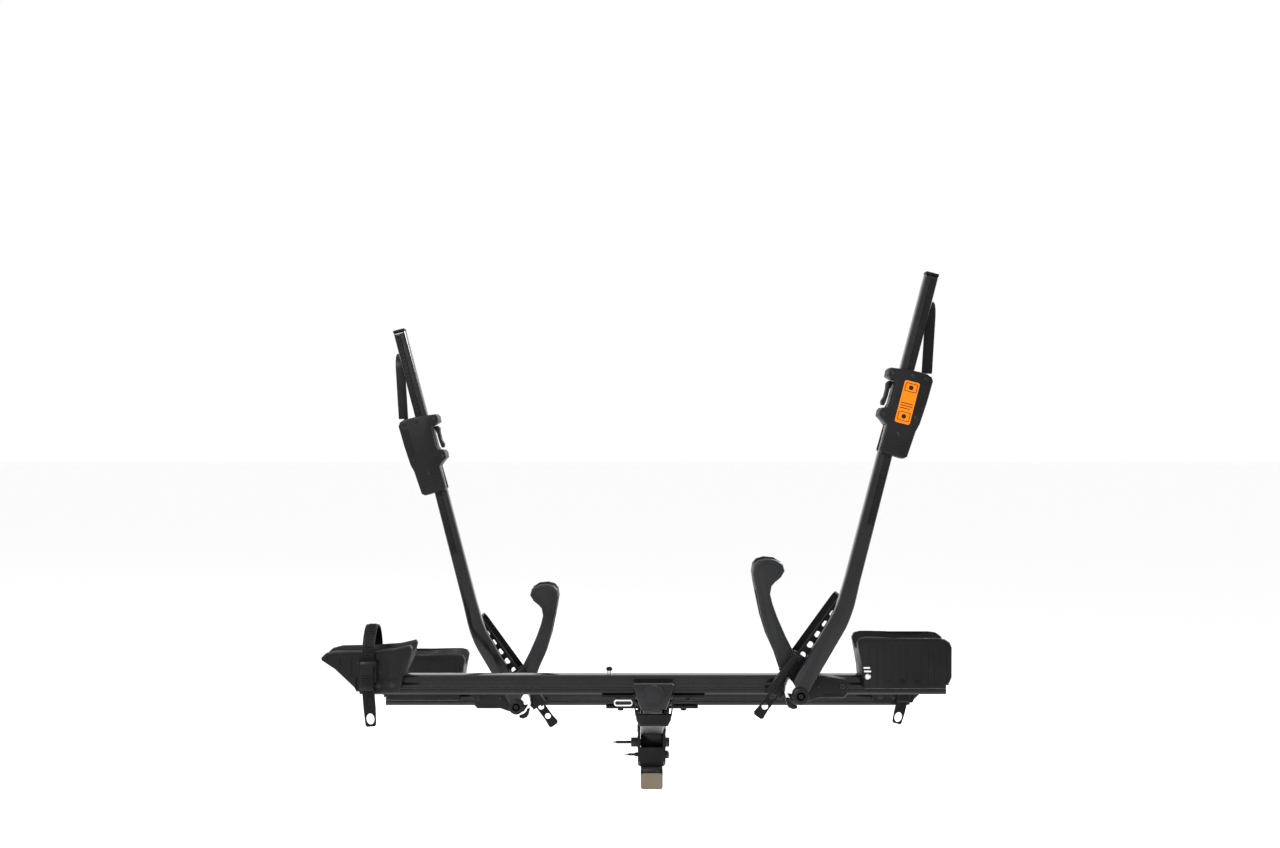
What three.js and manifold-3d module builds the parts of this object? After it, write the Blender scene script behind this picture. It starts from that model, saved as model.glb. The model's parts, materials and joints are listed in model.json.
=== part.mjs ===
// Hitch mounted bike rack for two bicycles, each held by a folding arm over its front wheel.
// Millimetres. +X along the trays, +Y towards the vehicle, +Z up.
// Origin: bottom face of the hitch tube, under its pin hole.
import * as THREE from 'three';
import { mergeVertices } from 'three/addons/utils/BufferGeometryUtils.js';
import Module from 'manifold-3d';

const wasm = await Module();
wasm.setup();

// ---- driving dimensions ----
const GAP = 0.3;
const OUTER = { x: 0, y: -645, top: 341 };
const INNER = { x: -11, y: -289, top: 252 };
const DROP = 6;
const BEAM = { x0: -584, x1: 586, depth: 45, height: 38, wall: 3 };
const TUBE = 50.8;
const TUBE_WALL = 4.8;
const STINGER = { y0: -230, y1: 90, pinHole: 8.2 };
const PIVOT = { y: -170, z: 102, bolt: 8, hole: 8.4 };
const LOCK = { y: -160, z: 71, r: 5 };
const SPINE_SLOPE = 0.25;
const SPINE_Z = 174;
const SPINE_END = -683;
const SPINE_HEEL = -150;
const REAR_WHEEL = { x: -582, z: 395, r: 361 };
const FRONT_WHEEL = { x: 523, z: 394, r: 361 };
const ARM = { x: 288, z: -29, footX: 280, footZ: -28, bendX: 374, bendZ: 133, topX: 546, topZ: 795,
  y0: -85, y1: -55, boss: 17 };
const HOOP_PIVOT = { x: 284, z: -14, r: 7 };
const HOOK = { x: 541.5, z: 604, lean: THREE.MathUtils.degToRad(3.5) };
const LEAN = Math.atan((ARM.topX - ARM.bendX) / (ARM.topZ - ARM.bendZ));
const SLIDER_Z = 558;
const STRAP_HOLE = { r: 6.5, pitch: 25.4 };
const STRAP_LEAN = THREE.MathUtils.degToRad(36.1);
const TAIL = { outer: [-4.5, -96], inner: [-14, -73] };

// ---- materials ----
const paint = (color, roughness, metalness) => () =>
  new THREE.MeshStandardMaterial({ color, roughness, metalness });
const blackAlloy = paint(0x15161a, 0.35, 0.6);
const blackSteel = paint(0x101113, 0.5, 0.4);
const blackPlastic = paint(0x0d0e10, 0.6, 0);
const hoopPlastic = paint(0x26282b, 0.55, 0);
const strapRubber = paint(0x141517, 0.65, 0);
const padRubber = paint(0x1b1b1c, 0.85, 0);
const silverAlloy = paint(0xc9ccd0, 0.35, 0.9);
const zincSteel = paint(0x3a3c3f, 0.4, 0.8);
const plugPlastic = paint(0xa89a86, 0.7, 0);

// ---- geometry helpers ----
function toManifold(geometry) {
  const bare = new THREE.BufferGeometry();
  bare.setAttribute('position', geometry.getAttribute('position'));
  if (geometry.index) {
    bare.setIndex(geometry.index);
  }
  const merged = mergeVertices(bare, 1e-3);
  const vertProperties = new Float32Array(merged.getAttribute('position').array);
  const triVerts = new Uint32Array(merged.index.array);
  return new wasm.Manifold(new wasm.Mesh({ numProp: 3, vertProperties, triVerts }));
}

function fromManifold(solid) {
  const mesh = solid.getMesh();
  const geometry = new THREE.BufferGeometry();
  geometry.setAttribute('position', new THREE.BufferAttribute(new Float32Array(mesh.vertProperties), 3));
  geometry.setIndex(new THREE.BufferAttribute(new Uint32Array(mesh.triVerts), 1));
  return geometry;
}

function join(...parts) {
  return fromManifold(parts.map(toManifold).reduce((a, b) => a.add(b)));
}

function cut(base, ...tools) {
  return fromManifold(tools.map(toManifold).reduce((a, b) => a.subtract(b), toManifold(base)));
}

function outline(points, holes = []) {
  const shape = new THREE.Shape(points.map(([x, y]) => new THREE.Vector2(x, y)));
  for (const hole of holes) {
    shape.holes.push(new THREE.Path(hole.map(([x, y]) => new THREE.Vector2(x, y))));
  }
  return shape;
}

function extrude(shape, depth, bevel = 0) {
  return new THREE.ExtrudeGeometry(shape, {
    depth: depth - 2 * bevel,
    bevelEnabled: bevel > 0,
    bevelSize: bevel,
    bevelThickness: bevel,
    bevelOffset: -bevel,
    bevelSegments: 2,
    curveSegments: 10,
  }).translate(0, 0, bevel);
}

// A (Y, Z) outline between two X planes.
function alongX(shape, x0, x1, bevel = 0) {
  const turn = new THREE.Matrix4().makeBasis(
    new THREE.Vector3(0, 1, 0), new THREE.Vector3(0, 0, 1), new THREE.Vector3(1, 0, 0));
  return extrude(shape, x1 - x0, bevel).applyMatrix4(turn).translate(x0, 0, 0);
}

// An (X, Z) outline between two Y planes.
function alongY(shape, y0, y1, bevel = 0) {
  return extrude(shape, y1 - y0, bevel).rotateX(Math.PI / 2).translate(0, y1, 0);
}

function box(x0, x1, y0, y1, z0, z1) {
  return new THREE.BoxGeometry(x1 - x0, y1 - y0, z1 - z0)
    .translate((x0 + x1) / 2, (y0 + y1) / 2, (z0 + z1) / 2);
}

function softBox(x0, x1, y0, y1, z0, z1, bevel) {
  return alongY(outline([[x0, z0], [x1, z0], [x1, z1], [x0, z1]]), y0, y1, bevel);
}

function rodY(x, z, r, y0, y1, segments = 24) {
  return new THREE.CylinderGeometry(r, r, y1 - y0, segments).translate(x, (y0 + y1) / 2, z);
}

function rodX(y, z, r, x0, x1, segments = 24) {
  return new THREE.CylinderGeometry(r, r, x1 - x0, segments)
    .rotateZ(Math.PI / 2).translate((x0 + x1) / 2, y, z);
}

function ring(cx, cy, rx, ry, count = 24) {
  const points = [];
  for (let i = 0; i < count; i += 1) {
    const a = (i / count) * 2 * Math.PI;
    points.push([cx + rx * Math.cos(a), cy + ry * Math.sin(a)]);
  }
  return points;
}

function roundedRect(x0, x1, y0, y1, r, steps = 4) {
  const points = [];
  const corners = [[x1 - r, y1 - r, 0], [x0 + r, y1 - r, 1], [x0 + r, y0 + r, 2], [x1 - r, y0 + r, 3]];
  for (const [cx, cy, quarter] of corners) {
    for (let i = 0; i <= steps; i += 1) {
      const a = (quarter + i / steps) * Math.PI / 2;
      points.push([cx + r * Math.cos(a), cy + r * Math.sin(a)]);
    }
  }
  return points;
}

// A band of even thickness along a path: the outline between two offsets of the path.
function band(path, low, high) {
  const side = (offset) => path.map(([x, y], i) => {
    const [ax, ay] = path[Math.max(i - 1, 0)];
    const [bx, by] = path[Math.min(i + 1, path.length - 1)];
    const length = Math.hypot(bx - ax, by - ay);
    return [x - offset * (by - ay) / length, y + offset * (bx - ax) / length];
  });
  return [...side(low), ...side(high).reverse()];
}

function arc(cx, cy, r, from, to, steps) {
  const points = [];
  for (let i = 0; i <= steps; i += 1) {
    const a = THREE.MathUtils.degToRad(from + (to - from) * i / steps);
    points.push([cx + r * Math.cos(a), cy + r * Math.sin(a)]);
  }
  return points;
}

// The room a tyre needs: a wheel with a rounded tread and sloping sides, axis along Y.
function wheelSpace({ x, z, r }, flare) {
  const profile = [[0, -60], [r - flare - 30, -60], [r - flare, -44], [r - 9, -29], [r, -15]];
  const mirrored = profile.map(([a, b]) => [a, -b]).reverse();
  const points = [...profile, ...mirrored].map(([a, b]) => new THREE.Vector2(a, b));
  return new THREE.LatheGeometry(points, 120).translate(x, 0, z);
}

// ---- tray pieces, in a tray's own frame: X = 0 on the spine, Y = 0 and Z = 0 on the beam's top ----
function beamOutline(inset) {
  const y = BEAM.depth / 2 - inset;
  const top = -inset;
  const low = -BEAM.height + inset;
  const face = [[y, low + 4], [y, -29], [y - 1.6, -28], [y - 1.6, -24], [y, -23], [y, -18.5], [y - 4, -14],
    [y - 4, top - 6]];
  const edge = arc(y - 10, top - 6, 6, 15, 90, 4);
  const right = [[y - 4, low], ...face, ...edge];
  const left = right.map(([a, b]) => [-a, b]).reverse();
  return [...right, ...left];
}

function beam() {
  const half = BEAM.depth / 2 - BEAM.wall - 4.5;
  const hollow = roundedRect(-half, half, -BEAM.height + BEAM.wall, -BEAM.wall, 3, 3);
  const rail = alongX(outline(beamOutline(0), [hollow]), BEAM.x0, BEAM.x1);
  const { x, z, r } = HOOP_PIVOT;
  return join(rail, rodY(x, z, r, -34.6, -16.5), rodY(x, z, r, 16.5, 34.6));
}

function beamPlug() {
  return alongX(outline(beamOutline(0.4)), BEAM.x0 - 5, BEAM.x0 - GAP);
}

function beamSlot(x0, x1) {
  const half = BEAM.depth / 2 + GAP;
  return box(x0, x1, -half, half, -60, GAP);
}

function rearCradle() {
  const side = outline([[-661, 39], [-653, 47], [-633, 52], [-573, 53], [-515, 57], [-484, 64], [-480, 58],
    [-488, 27], [-500, 2], [-503, -22], [-508, -28], [-577, -28], [-591, -28], [-595, -20], [-633, 16],
    [-660, 34]]);
  const body = alongY(side, -46, 46, 4);
  const flanks = [-1, 1].map((s) => {
    const y = s * 42;
    return box(-592, -505, Math.min(y, s * 60), Math.max(y, s * 60), -60, 0);
  });
  return cut(body, wheelSpace(REAR_WHEEL, 30), beamSlot(-700, -470), ...flanks);
}

function rearStrap(tray) {
  const path = [[48.6, -12], [48.6, 50], [45, 64], [37, 78], [25, 90], [12, 97], [0, 99],
    [-12, 97], [-25, 90], [-37, 78], [-45, 64], [-48.6, 50], [-48.6, -26]];
  const loop = alongX(outline(band(path, -1.5, 1.5)), -578, -554);
  const [lean, bottom] = TAIL[tray];
  const length = (bottom + 26) / Math.cos(THREE.MathUtils.degToRad(lean));
  const tip = outline([[-12, 2], [-12, length * 0.5], [-10.5, length + 3], [-8, length], [8, length],
    [10.5, length + 3], [12, length * 0.5], [12, 2]], [ring(0, length + 15, 8, 11)]);
  const tail = alongY(tip, -50.1, -47.1).rotateY(THREE.MathUtils.degToRad(lean)).translate(-566, 0, -26);
  return join(loop, tail);
}

function rearBuckle() {
  const body = softBox(-584, -548, -60, -46.3, -8, 36, 2);
  const slot = box(-578.3, -553.7, -52.4, -46, -60, 60);
  return cut(join(body, softBox(-584, -548, -47.6, -46.3, -8, 36, 0.2)), slot);
}

function rearBuckleLever() {
  return alongX(outline([[-60.3, -14], [-60.3, 32], [-63, 35], [-67, 35], [-70, 30], [-68, 8],
    [-70, -10], [-73, -18], [-70, -22], [-66, -18]]), -579, -553, 1);
}

function frontTray() {
  const side = outline([[405, 69], [414, 18], [418, -22], [580, -22], [581, -15], [588, -9], [592, 1],
    [592, 60], [588, 70], [577, 78], [562, 81], [422, 81], [410, 78]]);
  const body = alongY(side, -50, 50, 4);
  const ribs = [];
  for (let i = 0; i < 4; i += 1) {
    const x = 546 + i * 12;
    for (const s of [-1, 1]) {
      ribs.push(box(x, x + 3, Math.min(s * 48, s * 51.5), Math.max(s * 48, s * 51.5), -14, 58));
    }
  }
  return cut(join(body, ...ribs), wheelSpace(FRONT_WHEEL, 34), beamSlot(390, 586.6));
}

const HOOP_SIDE = [[265.7, -24], [256, 5.5], [244, 42], [227, 80], [215, 119], [208, 154], [202, 182],
  [198.5, 205], [201, 222], [209, 231], [224, 235], [244, 233], [258, 224], [262, 210], [254, 197],
  [243, 188], [236, 180], [233, 164], [238, 144], [247, 119], [264, 80], [283.5, 42], [296, 7.5],
  [301, -12], [296, -27], [283.5, -33], [273, -31]];

// The room of a tyre alone, without the slopes beside it.
function tyreSpace({ x, z, r }) {
  const profile = [[0, -25], [r - 18, -25], [r - 5, -17], [r, -6], [r, 6], [r - 5, 17], [r - 18, 25],
    [0, 25]];
  return new THREE.LatheGeometry(profile.map(([a, b]) => new THREE.Vector2(a, b)), 120).translate(x, 0, z);
}

function hoop() {
  const blank = alongY(outline(HOOP_SIDE), -34.3, 34.3, 5);
  const legGap = box(180, 340, -23, 23, -60, 170);
  const hole = rodY(HOOP_PIVOT.x, HOOP_PIVOT.z, HOOP_PIVOT.r + 0.4, -40, 40);
  return cut(blank, legGap, hole, tyreSpace({ ...FRONT_WHEEL, r: 364 }));
}

function armBracket() {
  const housing = alongY(outline([[306, -4], [320, 5], [335, 5.5], [383, -3], [384, -32], [378, -39],
    [320, -39], [307, -30]]), -52, -22.8, 3);
  const front = alongY(outline([[276, -16], [288, 0], [318, 4], [335, 4], [335, -36], [312, -44],
    [292, -50], [274, -46], [266, -34]]), -52, -36, 2);
  const foot = box(320, 378, -30, 20, -43, -38 - GAP);
  return join(housing, front, foot);
}

function armAxle() {
  const profile = [[0, -92], [13.5, -92], [16.5, -89.5], [16.5, -85.3], [11, -85.3], [11, -52.3], [0, -52.3]];
  const points = profile.map(([r, y]) => new THREE.Vector2(r, y));
  return new THREE.LatheGeometry(points, 32).translate(ARM.x, 0, ARM.z);
}

// The arm's centre line and half width: a straight foot, a bend, and a slimmer straight above it.
function armPath() {
  const low = Math.atan((ARM.bendX - ARM.footX) / (ARM.bendZ - ARM.footZ));
  const blend = 30;
  const start = [ARM.bendX - blend * Math.sin(low), ARM.bendZ - blend * Math.cos(low)];
  const end = [ARM.bendX + blend * Math.sin(LEAN), ARM.bendZ + blend * Math.cos(LEAN)];
  const path = [[ARM.footX, ARM.footZ, 18.5]];
  for (let i = 0; i <= 8; i += 1) {
    const t = i / 8;
    const a = (1 - t) * (1 - t);
    const b = 2 * t * (1 - t);
    const c = t * t;
    const half = 18 - 2 * t;
    path.push([a * start[0] + b * ARM.bendX + c * end[0], a * start[1] + b * ARM.bendZ + c * end[1], half]);
  }
  for (const [z, half] of [[200, 14.8], [300, 14.4], [ARM.topZ, 12.9]]) {
    const t = (z - ARM.bendZ) / (ARM.topZ - ARM.bendZ);
    path.push([ARM.bendX + t * (ARM.topX - ARM.bendX), z, half]);
  }
  return path;
}

function armOutline(path, wall) {
  const left = band(path, 1, 1).slice(0, path.length);
  const unit = left.map(([x, z], i) => [x - path[i][0], z - path[i][1]]);
  const edge = (sign) => path.map(([x, z, half], i) => {
    const h = sign * (half - wall);
    return [x + h * unit[i][0], z + h * unit[i][1]];
  });
  return outline([...edge(-1), ...edge(1).reverse()]);
}

function armTube() {
  const path = armPath();
  const tube = alongY(armOutline(path, 0), ARM.y0, ARM.y1, 5);
  const inner = path.slice(2);
  inner.push([ARM.topX + 12 * Math.sin(LEAN), ARM.topZ + 12 * Math.cos(LEAN), 12.9]);
  const hollow = alongY(armOutline(inner, 3), ARM.y0 + 3, ARM.y1 - 3, 3);
  const foot = rodY(ARM.x, ARM.z, ARM.boss, ARM.y0, ARM.y1, 32);
  return cut(join(tube, foot), hollow, rodY(ARM.x, ARM.z, 11.4, -100, -40));
}

// Pieces of the upper arm are built on its axis: X outwards across it, Z up along it, Z = 0 at SLIDER_Z.
function ontoArm(geometry) {
  const t = (SLIDER_Z - ARM.bendZ) / (ARM.topZ - ARM.bendZ);
  const x = ARM.bendX + t * (ARM.topX - ARM.bendX);
  return geometry.rotateY(LEAN).translate(x, 0, SLIDER_Z);
}

function armRack() {
  const points = [[-85.3, -255], [-85.3, 238]];
  for (let z = 238; z > -250; z -= 9) {
    points.push([-87.6, z], [-87.6, z - 4.5], [-86.6, z - 5.5], [-86.6, z - 9]);
  }
  return ontoArm(alongX(outline(points), 0, 9));
}

function armCap() {
  const top = (ARM.topZ - SLIDER_Z) / Math.cos(LEAN);
  const cap = softBox(-12.9, 12.9, -85, -55, top + GAP, top + 6, 2);
  return ontoArm(join(cap, box(-9, 9, -80, -60, top - 12, top + 3)));
}

function armLatch() {
  const side = [[258, -9], [263.5, 1.5], [267.5, 4], [271.5, -2], [265.5, -13.5], [262.5, -24], [267.5, -33],
    [259, -32], [256.5, -21]];
  const bridge = [[258.5, -9], [263.5, 1], [266, -3], [264, -14], [262, -22], [257.5, -20]];
  const plate = [[259, -8], [263.5, 1], [268, 3], [273, -3], [277.5, -11], [272, -17], [270, -24],
    [262.5, -23]];
  return join(alongY(outline(side), -83, -57, 1), alongY(outline(bridge), -87, -82),
    alongY(outline(plate), -87.8, -85.3));
}

function latchTab() {
  const side = [[258.5, -35], [261, -43], [261.5, -48], [266, -53], [273, -56], [281, -54.5], [282.5, -51],
    [275, -49], [268.5, -44], [265.8, -37]];
  return alongY(outline(side), -80, -60, 1);
}

function ontoHook(geometry) {
  return geometry.rotateY(HOOK.lean).translate(HOOK.x, 0, HOOK.z);
}

function sliderBody() {
  const side = [[-14, -62], [-15, -112], [-11, -117], [34, -117], [40, -112], [44, -60], [48, -44],
    [51, 0], [52, 44], [47, 52], [38, 55], [-8, 55], [-16, 52], [-33, 50], [-37, 44], [-36, 31], [-20, 26],
    [-18, 18], [-18, -18], [-21, -27], [-31, -31], [-34, -37], [-33, -48], [-24, -54]];
  const shell = alongY(outline(side), -96, -42, 4);
  const bore = box(-15.9, 15.9, -85.6, -54.4, -200, 200);
  const rackWay = box(-0.8, 9.8, -88.4, -80, -200, 200);
  const hookSlot = box(-9.8, -1.2, -53.8, -46.2, -20.3, 60);
  return cut(ontoArm(cut(shell, bore, rackWay)), ontoHook(hookSlot));
}

function sliderTrigger() {
  const side = [[-20.6, 24], [-29, 25], [-33, 19], [-31, 8], [-31, -8], [-34, -18], [-32, -25], [-27, -25],
    [-25.5, -17], [-24.5, -6], [-24.5, 8], [-22.5, 15]];
  return ontoArm(alongY(outline(side), -82, -60, 1.5));
}

function hookPath() {
  return [[-50, 0], [-50, 110], ...arc(-18, 112, 32, 180, 90, 6), [6, 145],
    ...arc(12, 121, 24, 85, 0, 5), [36, 106]];
}

function hookBand() {
  const strip = alongX(outline(band(hookPath(), -3.5, 3.5)), -10.2, 10.2, 1.2);
  return ontoHook(join(strip, box(-9.5, -1.5, -53.5, -46.5, -20, 4)));
}

function hookPad() {
  return ontoHook(alongX(outline(band(hookPath().slice(2), -8.2, -3.8)), -9.4, 9.4, 0.8));
}

// The front wheel strap is built in (Y, length) and leans with STRAP_LEAN; length 0 is at its first hole.
function ontoStrap(geometry) {
  return geometry.rotateY(STRAP_LEAN).translate(326, 0, 86);
}

function frontStrap() {
  const path = [[-41, -191], [-40.5, -60], [-40.5, 66], ...arc(-26.5, 74, 14, 180, 90, 5),
    ...arc(26.5, 74, 14, 90, 0, 5), [40.5, 66], [40.5, -72]];
  const ribbon = alongX(outline(band(path, -1.5, 1.5)), -9.7, 9.7);
  const tip = alongY(outline([[-9.7, -181], [9.7, -181], [11.5, -199], [8, -203], [-8, -203], [-11.5, -199]]),
    -42.8, -39.4);
  const holes = [];
  for (let i = 0; i < 10; i += 1) {
    holes.push(rodY(0, 50.8 - i * STRAP_HOLE.pitch, STRAP_HOLE.r, -60, -20, 16));
  }
  return ontoStrap(cut(join(ribbon, tip), ...holes));
}

function frontBuckle() {
  const frame = softBox(-17, 17, -46.5, -36, -148, -52, 2);
  const slot = box(-10.2, 10.2, -43.4, -38.4, -200, 0);
  return ontoStrap(cut(frame, slot));
}

function frontBuckleLever() {
  const side = [[-46.8, -150], [-46.8, -60], [-49, -56.5], [-51, -56], [-53.2, -62], [-51, -96],
    [-53.2, -128], [-53.2, -146], [-51, -152]];
  return ontoStrap(alongX(outline(side), -16.2, -2.4, 1));
}

// ---- spine and hitch pieces ----
const spineZ = (y) => SPINE_Z - SPINE_SLOPE * (y - INNER.y);

function spine() {
  const y0 = SPINE_END;
  const length = Math.hypot(SPINE_HEEL - y0, SPINE_SLOPE * (SPINE_HEEL - y0));
  const half = TUBE / 2;
  const wall = roundedRect(-half + 4, half - 4, -half + 4, half - 4, 3);
  const tube = alongY(outline(roundedRect(-half, half, -half, half, 6), [wall]), 0, length)
    .rotateX(-Math.atan(SPINE_SLOPE)).translate(0, y0, spineZ(y0));
  const under = (y) => [y, spineZ(y) - half + 1];
  const lowArc = arc(PIVOT.y, PIVOT.z, 24, 200, 340, 12);
  const foot = alongX(outline([under(-200), ...lowArc, under(-152), [-152, spineZ(-152) - 20],
    [-198, spineZ(-198) - 20]]), -half, half);
  return cut(join(tube, foot), rodX(PIVOT.y, PIVOT.z, PIVOT.hole, -40, 40));
}

function endCasting() {
  const half = [[38, 330.5], [40.5, 328], [38.5, 318], [33.5, 302], [28, 288], [24.5, 279]];
  const side = outline([...half, ...half.map(([x, z]) => [-x, z]).reverse()]);
  const face = alongY(side, -702, -690, 2);
  const hood = box(-35, 35, -694, -668.3, 304.5, 329);
  return join(face, hood, rodX(-694.5, 304, 3, -40.2, 40.2, 12));
}

function endShield() {
  const half = [[0, 330], [7, 327], [15, 325], [20.5, 319], [23, 308], [20, 296], [12, 287], [0, 285]];
  const shape = [...half, ...half.slice(1, -1).map(([x, z]) => [-x, z]).reverse()];
  return alongY(outline(shape), -706.5, -702.3, 1.5);
}

function tiltLever() {
  const arms = [-1, 1].map((s) => {
    const front = outline([[s * 33.5, 266], [s * 38, 299], [s * 38, 309], [s * 40.6, 309], [s * 40.6, 299],
      [s * 36.2, 266]]);
    return alongY(front, -699, -690);
  });
  const half = [[35.5, 270.5], [34.5, 260], [28, 247.5]];
  const side = outline([...half, ...half.map(([x, z]) => [-x, z]).reverse()]);
  const eye = rodX(-694.5, 304, 3.4, -60, 60, 12);
  return cut(join(alongY(side, -708, -691.5, 3), ...arms), eye);
}

function safetyLoop() {
  const track = roundedRect(-79, -40.8, 283, 296, 6, 5);
  const inside = roundedRect(-76, -43.8, 286, 293, 3.2, 5);
  return alongY(outline(track, [inside]), -683, -680, 0.8);
}

function trayBracket(tray) {
  const bottom = tray.top - BEAM.height - GAP;
  const plate = softBox(-103, 103, tray.y - 25, tray.y + 25, bottom - 6, bottom, 1);
  const low = (y) => [y, spineZ(y) + TUBE / 2 * Math.hypot(1, SPINE_SLOPE) + GAP];
  const wedge = alongX(outline([low(tray.y - 22), [tray.y - 22, bottom - 3], [tray.y + 24, bottom - 3],
    low(tray.y + 24)]), -31.6, 31.6);
  const cheeks = [-1, 1].map((s) => {
    const side = outline([[tray.y - 20, bottom - 3], [tray.y + 24, bottom - 3], [tray.y + 24, bottom - 42],
      [tray.y - 12, bottom - 42], [tray.y - 20, bottom - 34]]);
    const x0 = s > 0 ? TUBE / 2 + GAP : -TUBE / 2 - GAP - 6;
    return alongX(side, x0, x0 + 6);
  });
  const bolts = [];
  for (const x of [-71, 71]) {
    bolts.push(new THREE.CylinderGeometry(7, 7, 8, 6).rotateX(Math.PI / 2).translate(x, tray.y, bottom - 9));
  }
  return join(plate, wedge, ...cheeks, ...bolts);
}

function hitchFrame() {
  const half = TUBE / 2;
  const inner = half - TUBE_WALL;
  const section = outline(roundedRect(-half, half, 0, TUBE, 6),
    [roundedRect(-inner, inner, TUBE_WALL, TUBE - TUBE_WALL, 3)]);
  const tube = alongY(section, STINGER.y0, STINGER.y1);
  const plate = [[-212, 60], [-213, 136], [-207, 142], [-150, 142], [-140, 138], [-68, 63], [-62, 52],
    [-62, 28], [-70, 22], [-190, 46]];
  const parts = [tube];
  for (const s of [-1, 1]) {
    const x0 = s > 0 ? half + 0.5 : -half - 0.5 - 6.35;
    parts.push(alongX(outline(plate), x0, x0 + 6.35));
    const w0 = s > 0 ? half - 1 : -half - 1;
    parts.push(box(w0, w0 + 2, -140, -76, 40, 46));
  }
  parts.push(box(-half - 1, half + 1, -211, -206, TUBE - 2, 92));
  return cut(join(...parts), rodX(0, half, STINGER.pinHole, -40, 40),
    rodX(PIVOT.y, PIVOT.z - DROP, PIVOT.hole, -60, 60), rodX(LOCK.y, LOCK.z - DROP, LOCK.r + 0.4, -60, 60));
}

function stingerPlug() {
  const half = TUBE / 2;
  const face = alongY(outline(roundedRect(-half, half, 0.6, 38, 8)), STINGER.y0 - 4, STINGER.y0 - GAP, 1);
  const inner = half - TUBE_WALL - 0.4;
  const stub = alongY(outline(roundedRect(-inner, inner, TUBE_WALL + 0.4, 34, 3)),
    STINGER.y0 - 2, STINGER.y0 + 22);
  return join(face, stub);
}

function pivotBolt() {
  const profile = [[0, -92], [1.2, -92], [1.6, -85], [3.4, -82], [3.4, -48], [11, -47.5], [11, -34], [8, -34],
    [8, 32.6], [11, 32.6], [11, 40], [9, 41.5], [0, 41.5]];
  const points = profile.map(([r, x]) => new THREE.Vector2(r, x));
  return new THREE.LatheGeometry(points, 24).rotateZ(-Math.PI / 2).translate(0, PIVOT.y, PIVOT.z);
}

function lockPin() {
  const profile = [[0, -64], [1, -64], [1.4, -56], [3, -54], [3, -40], [5, -38], [5, 32.6], [9.5, 33],
    [9.5, 38], [7, 41], [0, 41]];
  const points = profile.map(([r, x]) => new THREE.Vector2(r, x));
  return new THREE.LatheGeometry(points, 24).rotateZ(-Math.PI / 2).translate(0, LOCK.y, LOCK.z);
}

function restButton() {
  const profile = [[0, 0.3], [4, 0.3], [4, 7], [6.2, 8], [6.5, 11], [4.4, 14], [0, 15]];
  const points = profile.map(([r, z]) => new THREE.Vector2(r, z));
  return new THREE.LatheGeometry(points, 24).rotateX(Math.PI / 2).translate(-89, OUTER.y, OUTER.top);
}

// ---- assembly ----
function mesh(name, geometry, material) {
  const whole = mergeVertices(geometry.deleteAttribute('normal').deleteAttribute('uv'), 1e-3);
  whole.computeVertexNormals();
  const piece = new THREE.Mesh(whole, material());
  piece.name = name;
  return piece;
}

// The inner tray is the outer tray's mirror image in X.
function mirrored(geometry) {
  const copy = geometry.index ? geometry.toNonIndexed() : geometry;
  copy.scale(-1, 1, 1);
  const p = copy.getAttribute('position').array;
  for (let i = 0; i < p.length; i += 9) {
    for (let k = 0; k < 3; k += 1) {
      [p[i + k], p[i + 3 + k]] = [p[i + 3 + k], p[i + k]];
    }
  }
  return copy;
}

const TRAY_PIECES = [
  ['beam', beam, blackAlloy],
  ['beam_plug', beamPlug, blackPlastic],
  ['rear_cradle', rearCradle, blackPlastic],
  ['rear_strap', rearStrap, strapRubber],
  ['rear_buckle', rearBuckle, blackPlastic],
  ['rear_buckle_lever', rearBuckleLever, blackPlastic],
  ['front_tray', frontTray, blackPlastic],
  ['hoop', hoop, hoopPlastic],
  ['arm_bracket', armBracket, blackPlastic],
  ['arm_axle', armAxle, blackPlastic],
  ['arm_tube', armTube, blackAlloy],
  ['arm_rack', armRack, blackPlastic],
  ['arm_cap', armCap, blackPlastic],
  ['arm_latch', armLatch, silverAlloy],
  ['latch_tab', latchTab, blackPlastic],
  ['slider_body', sliderBody, blackPlastic],
  ['slider_trigger', sliderTrigger, blackPlastic],
  ['hook_band', hookBand, blackSteel],
  ['hook_pad', hookPad, padRubber],
  ['front_strap', frontStrap, strapRubber],
  ['front_buckle', frontBuckle, blackPlastic],
  ['front_buckle_lever', frontBuckleLever, blackPlastic],
];

function tray(prefix, place, mirror) {
  const group = new THREE.Group();
  group.position.set(place.x, place.y, place.top);
  for (const [name, build, material] of TRAY_PIECES) {
    const geometry = mirror ? mirrored(build(prefix)) : build(prefix);
    group.add(mesh(`${prefix}_${name}`, geometry, material));
  }
  return group;
}

const rack = new THREE.Group();
rack.add(mesh('hitch_frame', hitchFrame(), blackSteel));
rack.add(mesh('stinger_plug', stingerPlug(), plugPlastic));

// Everything above the hitch tube is drawn from a level DROP higher than the tube's bottom face.
const upper = new THREE.Group();
upper.position.set(0, 0, -DROP);
upper.add(mesh('pivot_bolt', pivotBolt(), zincSteel));
upper.add(mesh('lock_pin', lockPin(), zincSteel));
upper.add(mesh('spine', spine(), blackSteel));
upper.add(mesh('end_casting', endCasting(), blackAlloy));
upper.add(mesh('end_shield', endShield(), hoopPlastic));
upper.add(mesh('tilt_lever', tiltLever(), blackPlastic));
upper.add(mesh('safety_loop', safetyLoop(), silverAlloy));
upper.add(mesh('outer_tray_bracket', trayBracket(OUTER), blackSteel));
upper.add(mesh('inner_tray_bracket', trayBracket(INNER), blackSteel));
upper.add(mesh('rest_button', restButton(), padRubber));
upper.add(tray('outer', OUTER, false));
upper.add(tray('inner', INNER, true));
rack.add(upper);

export default rack;
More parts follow.
